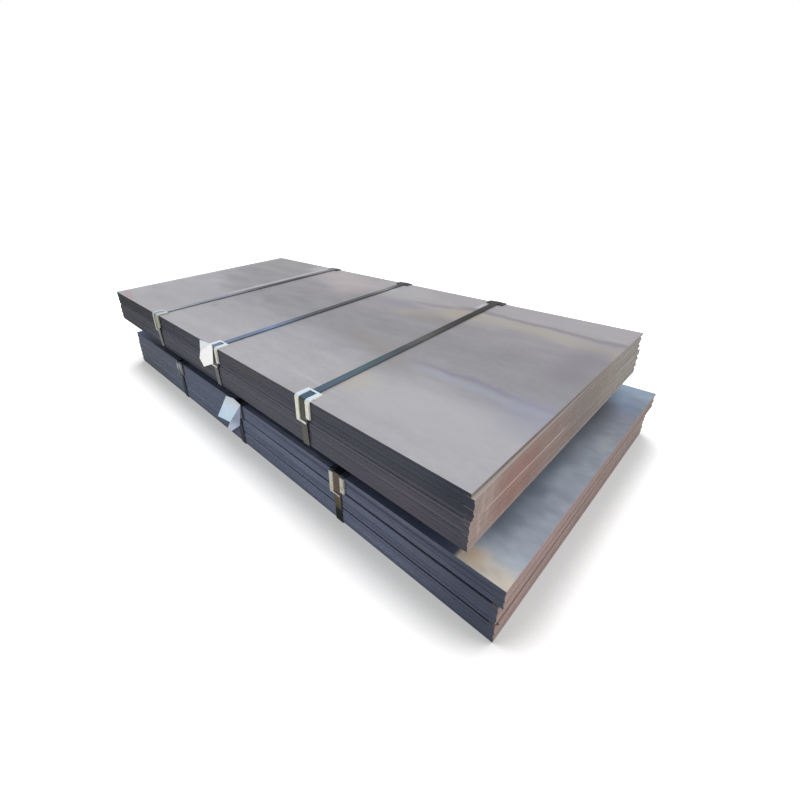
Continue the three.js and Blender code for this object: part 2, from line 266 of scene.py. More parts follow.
# %% World and sun
WORLD_SEEN = 1.0
WORLD_LIGHT = 0.62
SUN_STRENGTH = 1.42
SUN_ANGLE = 75
SUN_FROM = Vector((0.42, 0.50, 0.85))

world = bpy.data.worlds.new("studio_world")
scene.world = world
world.use_nodes = True
tree = world.node_tree
background = tree.nodes["Background"]
background.inputs["Color"].default_value = PLAIN_WHITE
level = mapped(tree, rays_that_look(tree), 0.0, 1.0, WORLD_LIGHT, WORLD_SEEN)
tree.links.new(level, background.inputs["Strength"])

sun = bpy.data.lights.new("broad_sun", "SUN")
sun.energy = SUN_STRENGTH
sun.angle = math.radians(SUN_ANGLE)
shown("broad_sun", sun).rotation_euler = SUN_FROM.to_track_quat("Z", "Y").to_euler()
on_a_level_top = WORLD_LIGHT + SUN_STRENGTH / math.pi * SUN_FROM.normalized().z
print("light on a level top, where 1 shows a colour as written:", round(on_a_level_top, 3))

# %% [markdown]
# ## Where each pack lies
#
# Rolling marks, scale and stains follow the plates, not the floor, so every pattern is drawn in a
# pack's own directions: along the plates, across them, and up. The places come from the solids, so
# they follow if a size changes. The upper pack lies a hair out of parallel, too little to matter to
# a stain, so its patterns are moved to its middle and not turned.

# %% Pack middles and levels
packs = {}
for pack in ("lower", "upper"):
    plates = sorted(name for name in nodes if name.startswith(f"{pack}_plate"))
    low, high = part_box(plates[0])
    packs[pack] = {
        "middle": ((low[0] + high[0]) / 2, (low[1] + high[1]) / 2, 0),
        "bottom": low[2],
        "top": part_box(plates[-1])[1][2],
        "pitch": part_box(plates[1])[0][2] - low[2],
    }
    print(pack, packs[pack])


def in_pack(tree, pack):
    """The point being shaded, from a pack's middle, as a vector and as along, across and up."""
    here = add(tree, "ShaderNodeTexCoord").outputs["Object"]
    moved = {"Vector": here, "Location": packs[pack]["middle"]}
    place = add(tree, "ShaderNodeMapping", moved, vector_type="TEXTURE").outputs[0]
    return (place, *axes_of(tree, place))

# %% [markdown]
# ## Colour tools
#
# Six tools are enough for every finish here. `cloud` is soft noise whose lumps have a size in
# millimetres in each direction. `tone` makes a colour lighter and darker by such noise, and
# `mottled` does so several times over. `rise` is a smooth step. `paint` lays one colour over
# another. `bands` runs through a list of colours along one direction, as scale does across a plate.

# %% Clouds, tones, steps, paint and bands
NOISE_RANGE = (0.3, 0.7)  # nearly all of a noise lies between these


def lumps(tree, place, size, detail):
    """The outputs of a noise with lumps of a given size in millimetres each way."""
    scale = tuple(per_metre(length) for length in size)
    stretched = add(tree, "ShaderNodeMapping", {"Vector": place, "Scale": scale})
    noise = {"Vector": stretched.outputs[0], "Scale": 1.0, "Detail": detail}
    return add(tree, "ShaderNodeTexNoise", noise).outputs


def cloud(tree, place, size, detail=3.0):
    """Noise with such lumps as a number from 0 to 1."""
    return lumps(tree, place, size, detail)["Fac"]


def scaled(tree, colour, gain):
    """A colour made lighter or darker by a gain."""
    factors = {0: colour, "Scale": gain}
    return add(tree, "ShaderNodeVectorMath", factors, operation="SCALE").outputs[0]


def tone(tree, colour, noise, amount):
    """Make a colour lighter and darker by up to an amount each way, following a noise."""
    return scaled(tree, colour, mapped(tree, noise, *NOISE_RANGE, 1 - amount, 1 + amount))


def mottled(tree, colour, place, clouds):
    """Tone a colour by clouds, each given as its size in millimetres, its detail and its amount."""
    for size, detail, amount in clouds:
        colour = tone(tree, colour, cloud(tree, place, size, detail), amount)
    return colour


def rise(tree, value, low, high):
    """0 below low, 1 above high, and a smooth rise between them. Low may be the larger one."""
    span = {"Value": value, "From Min": low, "From Max": high}
    return add(tree, "ShaderNodeMapRange", span, interpolation_type="SMOOTHSTEP").outputs[0]


def paint(tree, under, share, hex_colour, strength=1.0):
    """Lay a colour over another, by a share that is 0 to 1 over the surface."""
    return mix(tree, maths(tree, "MULTIPLY", share, strength), under, linear(hex_colour))


def bands(tree, level, stops):
    """A run of colours over a level in metres, from stops in millimetres."""
    low, high = stops[0][0], stops[-1][0]
    span = {"Value": level, "From Min": low * MM, "From Max": high * MM}
    ramp = add(tree, "ShaderNodeValToRGB", {0: add(tree, "ShaderNodeMapRange", span).outputs[0]})
    marks = ramp.color_ramp.elements
    while len(marks) < len(stops):
        marks.new(0.5)
    for mark, (at, hex_colour) in zip(marks, stops):
        mark.position = (at - low) / (high - low)
        mark.color = linear(hex_colour)
    return ramp.outputs["Color"]


print("colour tools:", [tool.__name__ for tool in (cloud, tone, mottled, rise, paint, bands)])

# %% [markdown]
# ## Marks with a place
#
# Real plate carries marks with a place: a tide line where water stood, dust beside a strap, a straw
# tint where the scale cooled slowly. Each is a soft-edged patch with a middle, a half size, a soft
# margin, a turn, a colour and a strength. A patch with straight edges looks pasted on, so noise
# first shifts the place that it is measured from, and its edge wanders. The same tool marks the
# tops, the long edges and the ends, because all that it needs is two directions on the face.

# %% Patches whose edges wander
WANDER_GAIN = 2.5  # noise keeps near its middle, so its shift is enlarged


def wander(tree, place, size, reach):
    """The same place, shifted by noise of a size, within about a reach, in millimetres."""
    noise = lumps(tree, place, (size,) * 3, 4.0)["Color"]
    middle = {0: noise, 1: (0.5, 0.5, 0.5)}
    centred = add(tree, "ShaderNodeVectorMath", middle, operation="SUBTRACT").outputs[0]
    spread = {0: centred, 1: tuple(WANDER_GAIN * length * MM for length in reach), 2: place}
    return add(tree, "ShaderNodeVectorMath", spread, operation="MULTIPLY_ADD").outputs[0]


def on_face(tree, first, second):
    """Two directions on an upright face as one vector."""
    return add(tree, "ShaderNodeCombineXYZ", {0: first, 1: second}).outputs[0]


def marked(tree, colour, spot, marks):
    """Lay soft patches over a colour, one after the other, where X and Y of a spot say."""
    for middle, half, soft, turn, hex_colour, strength in marks:
        patch = {
            "Vector": spot,
            "Location": (middle[0] * MM, middle[1] * MM, 0.0),
            "Rotation": (0.0, 0.0, math.radians(turn)),
            "Scale": (half[0] * MM, half[1] * MM, 1.0),
        }
        turned = add(tree, "ShaderNodeMapping", patch, vector_type="TEXTURE").outputs[0]
        away = axes_of(tree, turned, signed=False)
        inside = [
            rise(tree, away[i], 1 + soft[i] / half[i], 1 - soft[i] / half[i]) for i in (0, 1)
        ]
        share = maths(tree, "MULTIPLY", *inside)
        colour = paint(tree, colour, share, hex_colour, strength)
    return colour


share = WANDER_GAIN * (NOISE_RANGE[1] - 0.5)
print("most edges wander by less than", round(share, 2), "of their reach")

# %% [markdown]
# ## Hot-rolled plate, mill scale and sheared edges
#
# Hot-rolled steel cools under a skin of blue-grey mill scale. It is thin, tight and satin, darker
# where it stayed hot longer, and drawn out in bands along the rolling direction. The long edges are
# dark and scaly. The sheared ends are bare steel that has begun to rust, so they are warmer and
# paler. Separate material slots or painted attributes could tell the faces apart, but the face's
# own direction does it with no change to the solids: flat faces look up or down, ends look along
# the pack, and what is left are the long edges.
#
# Scale hardly mirrors, so metallic and specular stay low, and noise in the roughness gives the
# satin its cloudy life.

# %% One builder for both packs' steel
# How far a face's normal points up or down, as a part of its length, on flat and on broken edges.
FLAT, BROKEN = (0.85, 0.95), (0.2, 0.4)
# How much painted light lifts the broken edges that face up, and those that face down, out of their
# shade. Each has a gain on the long edges at the left end, one at the right end, and one on the
# ends.
GROOVE_LIGHT_UP = (1.4, 1.4, 1.1)
GROOVE_LIGHT_DOWN = (4.6, 3.6, 1.7)
GROOVE_LIGHT_SPAN = (0.3, 1.25)  # metres along, between which the left gain turns into the right one
ONE_PLATE = 0.04  # how much lighter or darker a plate may be than the rest
EDGE_ROUGHNESS = 0.8
SATIN_ROUGHNESS = (0.42, 0.58)
SATIN_LUMPS, DENTS, GRIT = (300, 90, 90), (150, 70, 70), (5, 5, 5)  # millimetres
DENT_DEPTH = 2.0  # as many times the depth of the grit


def face_normal(tree):
    """The way that the face being shaded looks."""
    return add(tree, "ShaderNodeNewGeometry").outputs["True Normal"]


def plate_steel(name, pack, flat, side, end):
    """Hot-rolled plate, from three functions that give the colour of the three kinds of face."""
    material, tree, shader = new_material(name, roughness=0.5, metallic=0.12, specular=0.18)
    place, along, across, up = in_pack(tree, pack)
    normal = face_normal(tree)
    lengthways, crossways, upright = axes_of(tree, normal, signed=False)
    is_flat = rise(tree, upright, *FLAT)
    is_end = maths(tree, "GREATER_THAN", lengthways, crossways)

    edges = mix(tree, is_end, side(tree, place, along, across, up), end(tree, place, across, up))
    # The number of a plate in its pack gives it a tone of its own.
    from_bottom = maths(tree, "SUBTRACT", up, packs[pack]["bottom"])
    number = maths(tree, "FLOOR", maths(tree, "DIVIDE", from_bottom, packs[pack]["pitch"]))
    random = add(tree, "ShaderNodeTexWhiteNoise", {"W": number}, noise_dimensions="1D")
    edges = tone(tree, edges, random.outputs["Value"], ONE_PLATE)
    # The grooves between plates are lightened, a painted light that lifts them out of their shade.
    gains = []
    for left, right, ends in (GROOVE_LIGHT_UP, GROOVE_LIGHT_DOWN):
        on_side = mapped(tree, along, *GROOVE_LIGHT_SPAN, left, right)
        gains.append(blend(tree, is_end, on_side, ends))
    is_down = maths(tree, "LESS_THAN", axes_of(tree, normal)["Z"], 0.0)
    lifted = scaled(tree, edges, blend(tree, is_down, *gains))
    edges = mix(tree, rise(tree, upright, *BROKEN), edges, lifted)
    colour = mix(tree, is_flat, edges, flat(tree, place, along, across, up))

    satin = mapped(tree, cloud(tree, place, SATIN_LUMPS, 4), 0.35, 0.65, *SATIN_ROUGHNESS)
    tree.links.new(blend(tree, is_flat, EDGE_ROUGHNESS, satin), shader.inputs["Roughness"])
    dents, grit = cloud(tree, place, DENTS, 2), cloud(tree, place, GRIT, 4)
    height = maths(tree, "MULTIPLY_ADD", dents, DENT_DEPTH, grit)
    coat(tree, shader, colour, height, depth=0.12, strength=0.5)
    return material


# Millimetres below a pack's top, between which its top face ends and its ledges begin.
LEDGE_FROM, LEDGE_TO = 2, 4
NEAR_HALF = (0.3, 0.2)  # metres across, a step that lies well within the pack


def below_top(tree, up, pack):
    """0 on a pack's top face, and 1 on every flat face below it."""
    top = packs[pack]["top"]
    return rise(tree, up, top - LEDGE_FROM * MM, top - LEDGE_TO * MM)


def on_near_side(tree, across):
    """1 on a pack's near long side, and 0 on its far one."""
    return rise(tree, across, *NEAR_HALF)


# The gain of the painted light on the broken edges that face down.
print("dust lifts the broken edges that face down", GROOVE_LIGHT_DOWN, "times")

# %% [markdown]
# ## The upper pack's steel
#
# Its top is the largest face of the stack. Across the plate the scale runs from pale at the near
# edge through a darker middle to a pale far side. Towards the left end the bands slide over to the
# far side, so the level that they are measured on is slid by an amount that grows along the pack.
#
# Flat faces below the top plate are ledges, where a plate lies further back than the one under it.
# They are painted light, which hides their shade, less so to the right.

# %% Upper top
UPPER_BANDS = [
    (-625, "#ADACB1"), (-400, "#ABABB0"), (-285, "#9E9EA4"), (-205, "#96959B"),
    (0, "#8D8C91"), (220, "#908E93"), (330, "#96939A"), (450, "#A3A0A3"), (600, "#A39FA4"),
]
UPPER_TOP_MARKS = [
    # middle, half size, soft margin, turn, colour, strength
    ((-980, 480), (300, 180), (140, 90), 0, "#929194", 0.9),
    ((-950, -400), (380, 250), (300, 160), 0, "#A1A0A6", 0.75),
    ((-1150, -80), (100, 60), (90, 60), 0, "#9E9DA2", 0.8),
    ((-700, -80), (110, 60), (80, 50), 0, "#919197", 0.6),
    ((-350, -370), (280, 110), (150, 70), 0, "#A3A2A6", 0.55),
    ((-690, 570), (60, 60), (50, 40), 0, "#B2B0B2", 0.7),
    ((-280, 450), (240, 110), (110, 80), -27, "#AFA7A9", 0.8),
    ((190, 480), (130, 100), (70, 60), 0, "#A8A7AA", 0.7),
    ((240, 310), (80, 34), (60, 30), 15, "#8F8DA0", 0.6),
    ((470, 290), (170, 50), (90, 40), 24, "#A09A8E", 0.6),
    ((900, 368), (430, 46), (90, 40), -4, "#A7A299", 0.7),
    ((620, 350), (90, 60), (70, 40), 0, "#A39D92", 0.5),
    ((480, 412), (190, 16), (70, 16), 10, "#88838C", 0.7),
    ((900, 440), (370, 15), (70, 15), -2, "#847E88", 0.8),
    ((760, 545), (480, 50), (100, 40), 0, "#A19DA3", 0.7),
    ((560, 230), (130, 50), (80, 40), 0, "#8E8A86", 0.5),
    ((470, -140), (170, 60), (120, 60), -12, "#908C86", 0.5),
    ((720, -220), (70, 70), (60, 50), 0, "#918D88", 0.5),
    ((1000, -178), (262, 11), (50, 12), 0, "#85829A", 0.6),
    ((1000, -218), (262, 18), (60, 18), 0, "#9DA2B2", 0.6),
    ((1190, -260), (70, 110), (60, 60), 0, "#9698AB", 0.5),
    ((980, -425), (230, 110), (110, 60), 0, "#B3B1B5", 0.55),
    ((690, -430), (60, 60), (50, 50), 0, "#BAB2A6", 0.5),
    ((-340, -70), (80, 40), (60, 36), -24, "#848389", 0.8),
    ((-510, -335), (22, 15), (16, 12), 0, "#8D8B94", 0.6),
    ((-1110, -594), (110, 18), (60, 14), 0, "#B0959B", 0.7),
    ((-880, -150), (150, 28), (110, 26), -24, "#A9A8B0", 0.5),
    ((1185, 170), (60, 170), (60, 130), 0, "#827F87", 0.8),
]
# Straight pale streaks. The first three are painted highlights: one runs beside the first strap,
# and two lie at the far ends of the other straps, where a strap tilts up to its guard and catches
# the light. The last two are pale streaks near the near edge and along the far end.
UPPER_TOP_HIGHLIGHTS_AND_STREAKS = [
    ((-641, 225), (9, 400), (7, 80), 0, "#CACACF", 0.75),
    ((592, 530), (10, 40), (9, 20), 0, "#C0C7D2", 0.7),
    ((66, 470), (18, 26), (14, 20), 0, "#BFC3CC", 0.5),
    ((590, -532), (120, 6), (60, 7), -2, "#C2C0BD", 0.45),
    ((-1225, 0), (20, 620), (20, 60), 0, "#B4B3B4", 0.35),
]
UPPER_MOTTLING = [((240, 120, 120), 5, 0.055), ((90, 34, 34), 5, 0.04), ((22, 16, 16), 4, 0.03)]
# Ledge colours: painted light that lifts the shade under the plate above, a pale tan near the right
# end.
UPPER_LEDGES = [
    (-1250, "#7A7B83"), (-600, "#7E7F87"), (0, "#82838C"), (500, "#7E7F89"), (1250, "#74757F"),
]
UPPER_END_LEDGES = "#A9A29D"
UPPER_NEAR_END = (1.225, 1.235)  # metres along, where the end's ledges begin
SLIDE_FROM = -0.5  # metres along the pack
SLIDE = -0.45  # metres across for each metre further to the left
BAND_SHIFT = 0.26  # metres between the largest shifts that clouds give the bands


def upper_top(tree, place, along, across, up):
    """Mill scale on the top face, and painted light on the ledges below it."""
    past = maths(tree, "MAXIMUM", maths(tree, "SUBTRACT", SLIDE_FROM, along), 0.0)
    slid = maths(tree, "MULTIPLY_ADD", past, SLIDE, across)
    drift = cloud(tree, place, (320, 130, 130), 4)
    shifted = maths(tree, "MULTIPLY_ADD", drift, BAND_SHIFT, slid)
    level = maths(tree, "SUBTRACT", shifted, BAND_SHIFT / 2)
    colour = mottled(tree, bands(tree, level, UPPER_BANDS), place, UPPER_MOTTLING)
    spot = wander(tree, place, size=190, reach=(40, 30, 0))
    spot = wander(tree, spot, size=45, reach=(8, 7, 0))
    colour = marked(tree, colour, spot, UPPER_TOP_MARKS)
    colour = marked(tree, colour, place, UPPER_TOP_HIGHLIGHTS_AND_STREAKS)
    at_end = rise(tree, along, *UPPER_NEAR_END)
    ledge = paint(tree, bands(tree, along, UPPER_LEDGES), at_end, UPPER_END_LEDGES)
    return mix(tree, below_top(tree, up, "upper"), colour, ledge)


print("bands across the upper top:", len(UPPER_BANDS), "marks on it:", len(UPPER_TOP_MARKS))

# %% [markdown]
# ## The upper pack's edges and ends
#
# The long edges of a pack are read as a ledger, a line for each plate, but scale and painted light
# over the shade of the steps run the lines together. Above the plate that is set back they are
# bluer and darker. Beside each strap a dark streak is painted, the shadow of the strap, which its
# guard holds off the face. The sheared ends go from pale, rubbed steel at the near corner, through
# a red flush of rust, to a greyer far side, and a painted highlight marks the lit ledge of a
# set-back plate.

# %% Upper edges and ends
UPPER_SIDE_HIGH = [
    (-1250, "#2A2C2F"), (-900, "#2D2F33"), (-400, "#3A3D46"), (0, "#474A54"),
    (450, "#4E4F58"), (900, "#4B4D57"), (1100, "#464953"), (1250, "#3A3D47"),
]
UPPER_SIDE_LOW = [
    (-1250, "#3E3E43"), (-900, "#45454D"), (-400, "#4C4D55"), (0, "#54545C"),
    (450, "#56565E"), (900, "#55545E"), (1080, "#57535C"), (1250, "#494952"),
]
UPPER_SIDE_MARKS = [
    ((-400, 296), (600, 10), (330, 8), 0, "#242834", 0.85),
    ((-700, 325), (160, 14), (120, 12), 0, "#575A72", 0.4),
    ((-1000, 330), (260, 40), (160, 20), 0, "#403F45", 0.5),
    ((-950, 346), (280, 7), (200, 5), 0, "#35353B", 0.5),
    ((940, 423), (330, 2.5), (200, 2.5), 0, "#3F414B", 0.5),
    ((940, 405), (330, 2.5), (200, 2.5), 0, "#3F414B", 0.5),
    ((940, 456), (330, 3), (300, 3), 0, "#3F4149", 0.4),
    # The next three paint the shadow that each strap, held off the face by its guard, casts beside
    # it.
    ((668, 340), (7, 46), (6, 14), 0, "#2B2A2E", 0.75),
    ((58, 345), (8, 50), (7, 14), 0, "#2D2D30", 0.75),
    ((-566, 370), (9, 50), (8, 20), 0, "#2F2E34", 0.7),
    ((1200, 440), (40, 30), (40, 20), 0, "#333845", 0.6),
    ((300, 440), (160, 22), (140, 14), 0, "#565249", 0.35),
]
# Painted light where a plate's edge lies back under the one above: it hides the shade of those
# steps, but toward the right end it leaves the deepest one dark.
UPPER_SIDE_STEP_LIGHT = [
    ((200, 429.6), (800, 3.0), (500, 1.5), 0, "#565761", 0.8),
    ((0, 377.6), (1300, 2.6), (200, 1.5), 0, "#5E5E67", 0.8),
    ((0, 346.8), (1300, 2.8), (200, 1.5), 0, "#63636C", 0.85),
    ((0, 326.4), (1300, 2.4), (200, 1.5), 0, "#5E5E67", 0.7),
    ((-450, 387.6), (900, 3.4), (500, 1.5), 0, "#666670", 0.85),
]
UPPER_SIDE_MOTTLING = [((300, 300, 12), 3, 0.06), ((60, 60, 14), 3, 0.05)]
UPPER_END_BANDS = [
    (-625, "#96857F"), (-560, "#988780"), (-500, "#8F756F"), (-400, "#8D736C"), (-330, "#87706A"),
    (-200, "#87756F"), (0, "#7D7470"), (150, "#80766F"), (300, "#8A837E"), (450, "#8E8B86"),
    (625, "#8B8885"),
]
UPPER_END_MARKS = [
    ((-585, 380), (5, 70), (5, 20), 0, "#B7A29B", 0.6),
    ((-548, 390), (4, 60), (4, 16), 0, "#AB938B", 0.6),
    ((-420, 370), (60, 60), (50, 20), 0, "#91695F", 0.35),
    ((-330, 360), (30, 60), (30, 20), 0, "#8C665E", 0.3),
    # A painted highlight: the lit ledge where a plate lies set back.
    ((-330, 375.2), (230, 3.2), (60, 1.6), 0, "#BBA69E", 0.75),
    ((-40, 330), (40, 30), (40, 20), 0, "#7C6A58", 0.4),
    ((430, 370), (130, 60), (90, 30), 0, "#908D7C", 0.3),
    ((-150, 298), (460, 5), (200, 4), 0, "#A69B97", 0.6),
    ((-300, 457), (330, 4), (60, 3), 0, "#6F6D6C", 0.7),
]
UPPER_END_MOTTLING = [((10, 10, 90), 3, 0.05), ((60, 60, 60), 4, 0.05)]
SET_BACK = (0.388, 0.404)  # metres up, at the plate that is set back


def upper_side(tree, place, along, across, up):
    """Scaly long edges, darker above the plate that is set back."""
    low, high = (bands(tree, along, stops) for stops in (UPPER_SIDE_LOW, UPPER_SIDE_HIGH))
    colour = mix(tree, rise(tree, up, *SET_BACK), low, high)
    face = on_face(tree, along, up)
    # Painted light over the shade of the stepped edges, on the near side only.
    step_lit = marked(tree, colour, face, UPPER_SIDE_STEP_LIGHT)
    colour = mix(tree, on_near_side(tree, across), colour, step_lit)
    spot = wander(tree, face, size=60, reach=(14, 1.5, 0))
    colour = marked(tree, colour, spot, UPPER_SIDE_MARKS)
    return mottled(tree, colour, place, UPPER_SIDE_MOTTLING)


def upper_end(tree, place, across, up):
    """Sheared ends, rubbed at the near corner and rusting further on."""
    spot = wander(tree, on_face(tree, across, up), size=50, reach=(10, 1, 0))
    colour = marked(tree, bands(tree, across, UPPER_END_BANDS), spot, UPPER_END_MARKS)
    return mottled(tree, colour, place, UPPER_END_MOTTLING)


upper_steel = plate_steel(
    "hot_rolled_plate_blue_grey_scale", "upper", upper_top, upper_side, upper_end)
print("marks on the upper edges and ends:", len(UPPER_SIDE_MARKS) + len(UPPER_END_MARKS))

# %% [markdown]
# ## The lower pack's top
#
# Where the upper pack lies on it, the deep shade of the gap is painted in as blue, nearly black
# scale. Out in the open it is washed to a pale blue-grey, with a pale tan at the near corner, and a
# clear blue at the far side that paints the sky that the scale mirrors. The painted shade begins a
# little way in from the upper pack's end.
#
# Its ledges are painted light on their outer part, to lift their shade. Deeper in, they are
# painted light on the left and painted shade toward the right.

# %% Lower top
# Scale across the top, from a pale tan at the near edge through blue-grey to a clear blue at the
# far side, which paints the sky that the scale mirrors.
LOWER_BANDS = [
    (-625, "#C9C2B8"), (-590, "#CAC3BA"), (-560, "#B4BBC2"), (-520, "#A3ADBB"), (-420, "#98A0AE"),
    (-100, "#929AA6"), (60, "#9199A5"), (200, "#868C98"), (320, "#7E8491"), (430, "#7B8596"),
    (600, "#8C9DB0"),
]
# Patches by the upper pack's end. The darker ones beside it are partly mottling and partly painted
# shade from the upper pack, and the blue ones at the far side paint the sky that the scale mirrors.
LOWER_TOP_MARKS_AND_PAINTED_LIGHT = [
    ((1130, 310), (60, 120), (36, 70), 0, "#66666D", 0.75),
    ((1130, 60), (54, 160), (36, 90), 0, "#747984", 0.75),
    ((1130, -250), (52, 240), (34, 90), 0, "#737D89", 0.75),
    ((1165, -260), (26, 30), (18, 20), 0, "#6B7684", 0.6),
    ((1150, -440), (34, 40), (22, 26), 0, "#75808E", 0.6),
    ((1160, 170), (26, 50), (20, 30), 0, "#6F7480", 0.5),
    ((1190, -320), (24, 36), (16, 22), 0, "#7C8797", 0.5),
    ((1200, -140), (20, 50), (14, 24), 0, "#A2AAB8", 0.5),
    ((1195, -20), (18, 40), (14, 24), 0, "#848B98", 0.45),
    ((1155, -590), (30, 30), (20, 22), 0, "#CFB89C", 0.7),
    ((1230, 120), (14, 60), (10, 30), 0, "#A0A0A4", 0.4),
    ((1165, 520), (36, 90), (24, 50), 0, "#88A0BA", 0.5),
    ((1215, 440), (20, 70), (14, 30), 0, "#7E8CAB", 0.5),
]
LOWER_MOTTLING = [((60, 42, 42), 5, 0.13), ((200, 22, 22), 4, 0.03)]
# Ledge colours: painted light that lifts the shade on the outer part of each ledge, and deeper in,
# painted light on the left and painted shade on the right. The end's ledges are painted light, in
# the end's tan.
LOWER_LEDGES = [
    (-1250, "#9098AA"), (0, "#969EB2"), (300, "#8E96AA"), (500, "#868EA2"), (800, "#767D90"),
    (1250, "#5E6476"),
]
LOWER_DEEP = [
    (-1250, "#8A92A4"), (-200, "#8A92A4"), (150, "#5E6476"), (450, "#3A404E"), (1250, "#303643"),
]
LOWER_END_LEDGES = "#8E7E78"
LOWER_NEAR_END = (1.228, 1.236)  # metres along
OUTER_PART = (-0.6215, -0.6235)  # metres across, where the dusty part of a ledge begins
# How far in from the upper pack's end the painted shade of the gap begins.
PAINTED_SHADE_INSET = 50  # millimetres

under_upper_pack = [edge[0] - packs["lower"]["middle"][0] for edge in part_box("upper_plate_01")]
first, last = under_upper_pack[0] / MM, under_upper_pack[1] / MM - PAINTED_SHADE_INSET
# Painted shade and light in the gap under the upper pack: the first patch paints the gap's deep
# shade as nearly black scale, the blue one paints the sky that the scale mirrors at the left end,
# the dark strip deepens the shade near the front on the left, and the pale strip lightens it on the
# right.
GAP_PAINTED_LIGHT_AND_SHADE = [
    (((first + last) / 2, 0), ((last - first) / 2, 900), (8, 50), 0, "#47526B", 0.97),
    ((-1215, -570), (120, 90), (90, 70), 0, "#4A72AC", 0.75),
    ((-750, -600), (220, 26), (120, 16), 0, "#272D3B", 0.6),
    ((380, -617), (270, 8), (140, 5), 0, "#7C8397", 0.8),
]


def lower_top(tree, place, along, across, up):
    """Washed scale in the open, painted shade in the gap under the upper pack, and painted light
    and shade on the ledges below.
    """
    colour = mottled(tree, bands(tree, across, LOWER_BANDS), place, LOWER_MOTTLING)
    spot = wander(tree, place, size=70, reach=(12, 18, 0))
    spot = wander(tree, spot, size=20, reach=(4, 5, 0))
    colour = marked(tree, colour, spot, LOWER_TOP_MARKS_AND_PAINTED_LIGHT)
    # Paint the shade and light of the gap under the upper pack.
    spot = wander(tree, place, size=60, reach=(4, 4, 0))
    colour = marked(tree, colour, spot, GAP_PAINTED_LIGHT_AND_SHADE)
    is_outer = rise(tree, across, *OUTER_PART)
    deep, outer = (bands(tree, along, stops) for stops in (LOWER_DEEP, LOWER_LEDGES))
    at_end = rise(tree, along, *LOWER_NEAR_END)
    ledge = paint(tree, mix(tree, is_outer, deep, outer), at_end, LOWER_END_LEDGES)
    return mix(tree, below_top(tree, up, "lower"), colour, ledge)


# Where the painted shade of the gap runs, along the lower pack.
print("fresh scale from", round(first), "to", round(last), "mm along the lower pack")

# %% [markdown]
# ## The lower pack's edges and ends
#
# These edges are paler and bluer than the upper ones. Two plates lie askew: they are set back
# further and further toward the right end, and the plates above shade them. Painted light makes up
# for that shade on the left and gives out on the right.

# %% Lower edges and ends
LOWER_SIDE_BANDS = [
    (-1250, "#5A5E6A"), (-900, "#5D636F"), (-400, "#62697A"), (200, "#636A7B"),
    (700, "#666D80"), (950, "#626879"), (1080, "#595F70"), (1150, "#4F5565"), (1250, "#4A5060"),
]
LOWER_SIDE_MARKS = [
    ((900, 184), (600, 6), (400, 5), 0, "#454B5D", 0.75),
    ((900, 101), (600, 4), (500, 4), 0, "#4A5062", 0.4),
    ((500, 124), (450, 13), (250, 8), 0, "#757C90", 0.6),
    ((700, 44), (340, 16), (200, 10), 0, "#747B8F", 0.55),
    ((860, 32), (130, 10), (100, 8), 0, "#7C8398", 0.5),
    ((180, 60), (200, 6), (150, 5), 0, "#767D90", 0.5),
    # Painted shadow: the upper pack's shadow on the top edge at the left.
    ((-700, 204), (500, 6), (220, 6), 0, "#4A5060", 0.6),
    # The next two paint the shadow that each strap, held off the face, casts beside it.
    ((-575, 80), (13, 90), (10, 20), 0, "#2C313F", 0.5),
    ((672, 100), (6, 90), (6, 20), 0, "#373A47", 0.6),
    ((700, 170), (9, 30), (8, 16), 0, "#434A57", 0.5),
    ((-1100, 120), (200, 60), (160, 30), 0, "#605F6B", 0.5),
]
LOWER_SIDE_MOTTLING = [((340, 340, 26), 3, 0.06), ((50, 50, 12), 3, 0.06)]
# The colours of the two askew plates, by the height of their middle in millimetres: painted light
# over their shade, which gives out at the right end.
LOWER_ASKEW = {
    140.2: [
        (-1250, "#686E7D"), (-900, "#6F7585"), (-400, "#7F8799"), (0, "#9CA4B8"), (200, "#B8C4DC"),
        (450, "#C6D3EC"), (800, "#96A0B8"), (950, "#7A8298"), (1100, "#5F667A"), (1250, "#4A5060"),
    ],
    68.1: [
        (-1250, "#6B7181"), (-900, "#747B8C"), (-400, "#7B8396"), (200, "#A4AEC4"),
        (450, "#A0A9BF"), (800, "#8B93AB"), (950, "#8A93A7"), (1100, "#676E80"), (1250, "#4A5060"),
    ],
}
ASKEW_EDGE, ASKEW_FULL = 6.0, 5.2  # millimetres from a plate's middle, where its painted light ends
LOWER_END_BANDS = [(-625, "#9A867F"), (-400, "#978380"), (0, "#8E7C77"), (625, "#8A7E7A")]
LOWER_END_MOTTLING = [((10, 10, 80), 3, 0.05), ((60, 60, 60), 4, 0.06)]


def lower_side(tree, place, along, across, up):
    """Scaly long edges, with painted light over the shade on the two plates that lie askew."""
    colour = bands(tree, along, LOWER_SIDE_BANDS)
    is_near = on_near_side(tree, across)
    for middle, stops in LOWER_ASKEW.items():
        off = maths(tree, "ABSOLUTE", maths(tree, "SUBTRACT", up, middle * MM))
        on_plate = rise(tree, off, ASKEW_EDGE * MM, ASKEW_FULL * MM)
        share = maths(tree, "MULTIPLY", on_plate, is_near)
        colour = mix(tree, share, colour, bands(tree, along, stops))
    spot = wander(tree, on_face(tree, along, up), size=60, reach=(14, 1.2, 0))
    colour = marked(tree, colour, spot, LOWER_SIDE_MARKS)
    return mottled(tree, colour, place, LOWER_SIDE_MOTTLING)


def lower_end(tree, place, across, up):
    """Sheared ends, evenly rusted."""
    return mottled(tree, bands(tree, across, LOWER_END_BANDS), place, LOWER_END_MOTTLING)


lower_steel = plate_steel(
    "hot_rolled_plate_washed_scale", "lower", lower_top, lower_side, lower_end)
print("marks on the lower pack:", len(LOWER_TOP_MARKS_AND_PAINTED_LIGHT) + len(LOWER_SIDE_MARKS))

